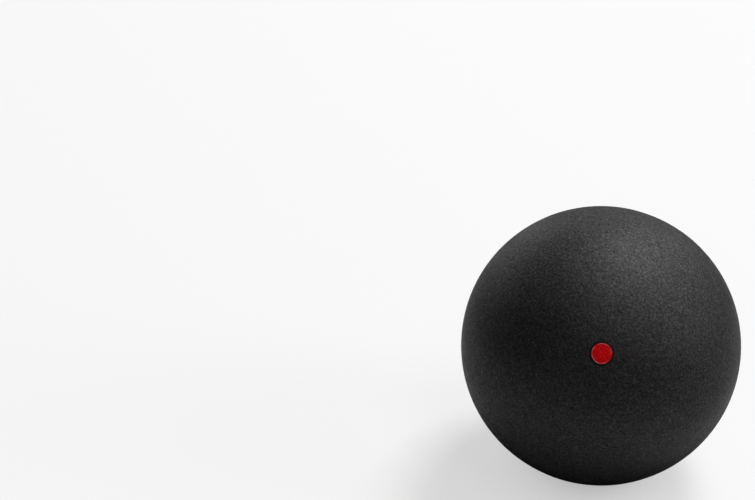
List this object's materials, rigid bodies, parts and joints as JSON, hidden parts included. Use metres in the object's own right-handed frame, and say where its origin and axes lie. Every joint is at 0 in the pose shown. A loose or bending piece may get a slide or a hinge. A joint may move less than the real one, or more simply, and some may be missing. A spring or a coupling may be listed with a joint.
{
  "type": "squash ball",
  "caption": "Hollow matt black rubber ball, glued up from moulded half shells, with a small printed red dot. It is hit against the walls of a squash court.",
  "frame": {"origin": "the centre of the ball, which is also the middle of its bounding box", "axes": "-Z points down to the point on which the ball rests; the printed dot faces -Y and looks up 30 degrees from level; +X is to the right of someone who faces the dot"},
  "size_m": [0.04, 0.04, 0.04],
  "materials": {
    "shell_rubber": "matte",
    "rubber_solution": "satin",
    "dot_ink": "satin"
  },
  "bodies": {
    "root": {"front_half_shell": "shell_rubber", "rear_half_shell": "shell_rubber", "seam_adhesive": "rubber_solution", "speed_dot": "dot_ink"}
  },
  "joints": []
}
